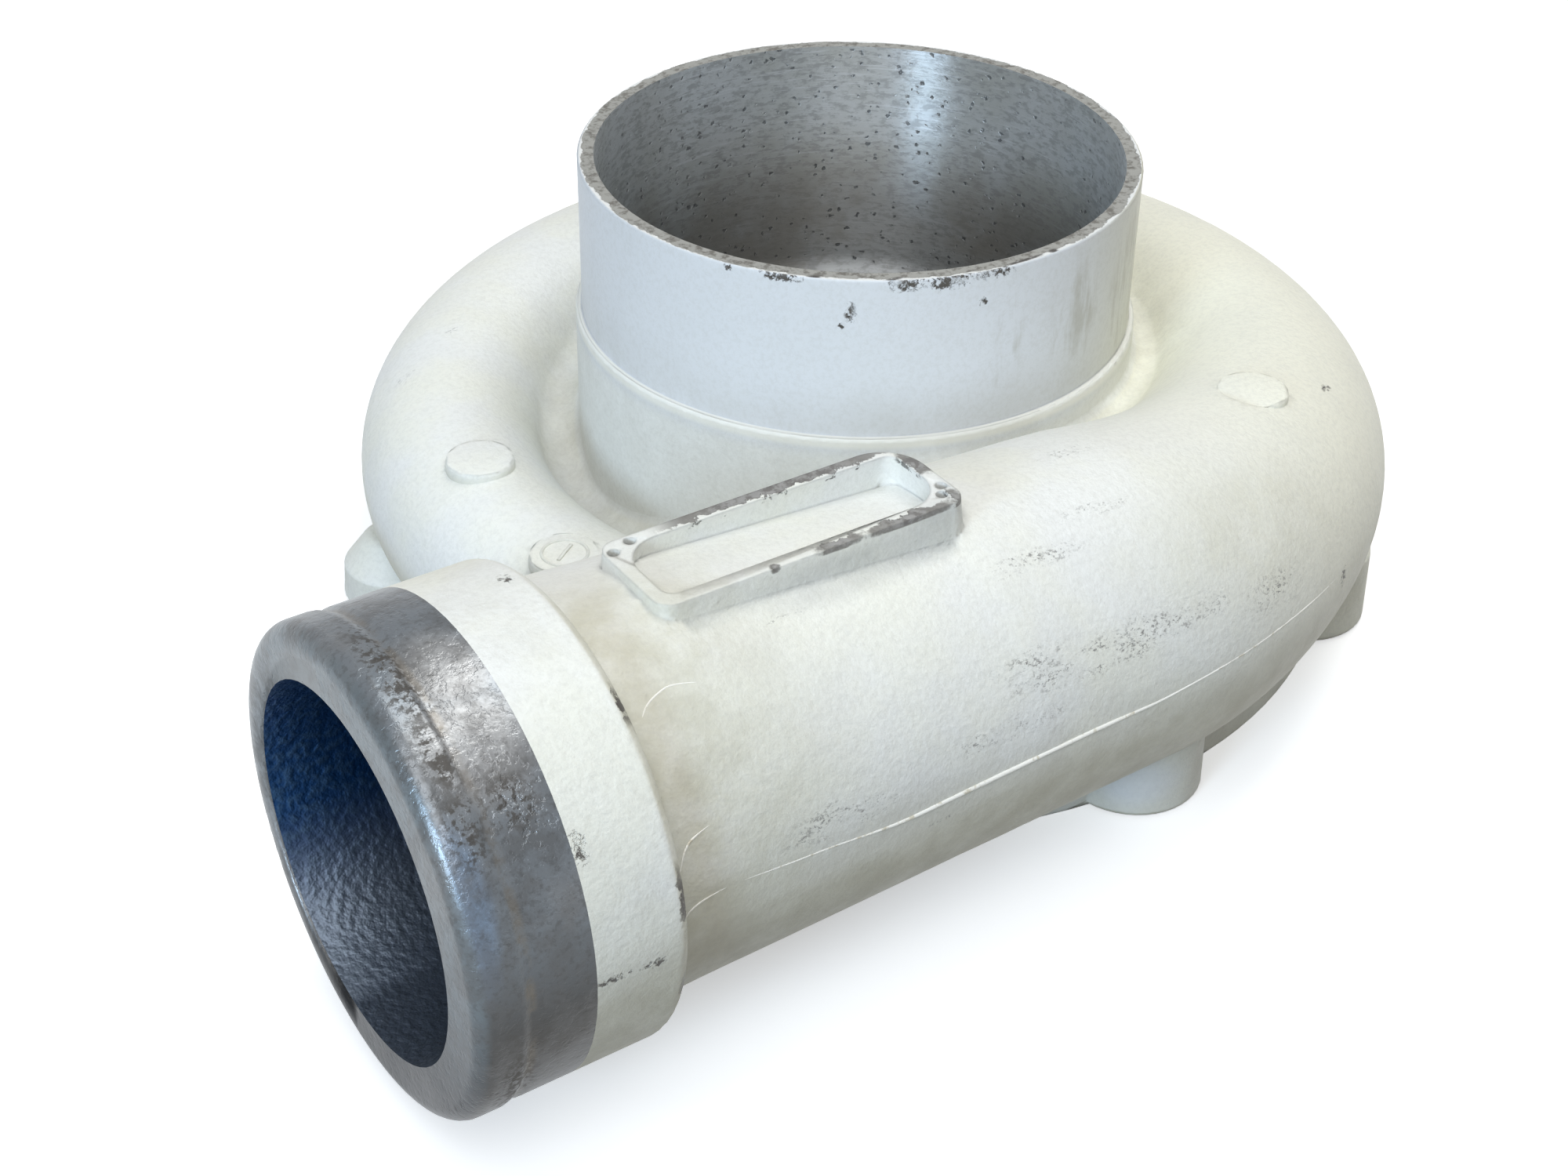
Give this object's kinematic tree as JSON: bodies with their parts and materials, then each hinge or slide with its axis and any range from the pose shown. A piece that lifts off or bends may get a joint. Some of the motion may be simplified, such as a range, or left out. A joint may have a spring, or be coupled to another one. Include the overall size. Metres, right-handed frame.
{
  "type": "turbo compressor housing",
  "caption": "Cast scroll housing for a centrifugal turbo compressor: round air inlet on top, tangential beaded discharge, open back with register and bolt lugs. Worn off-white paint.",
  "frame": {"origin": "on the wheel axis, in the plane of the back mounting face", "axes": "+Z along the wheel axis towards the air inlet, -X the way the discharge blows, on the -Y side"},
  "size_m": [0.3369, 0.3, 0.113],
  "materials": {
    "painted_casting": "sand-cast aluminium under worn off-white paint, bare metal in the inlet bore and at the end of the discharge"
  },
  "bodies": {
    "root": {"compressor_housing": "painted_casting"}
  },
  "joints": []
}
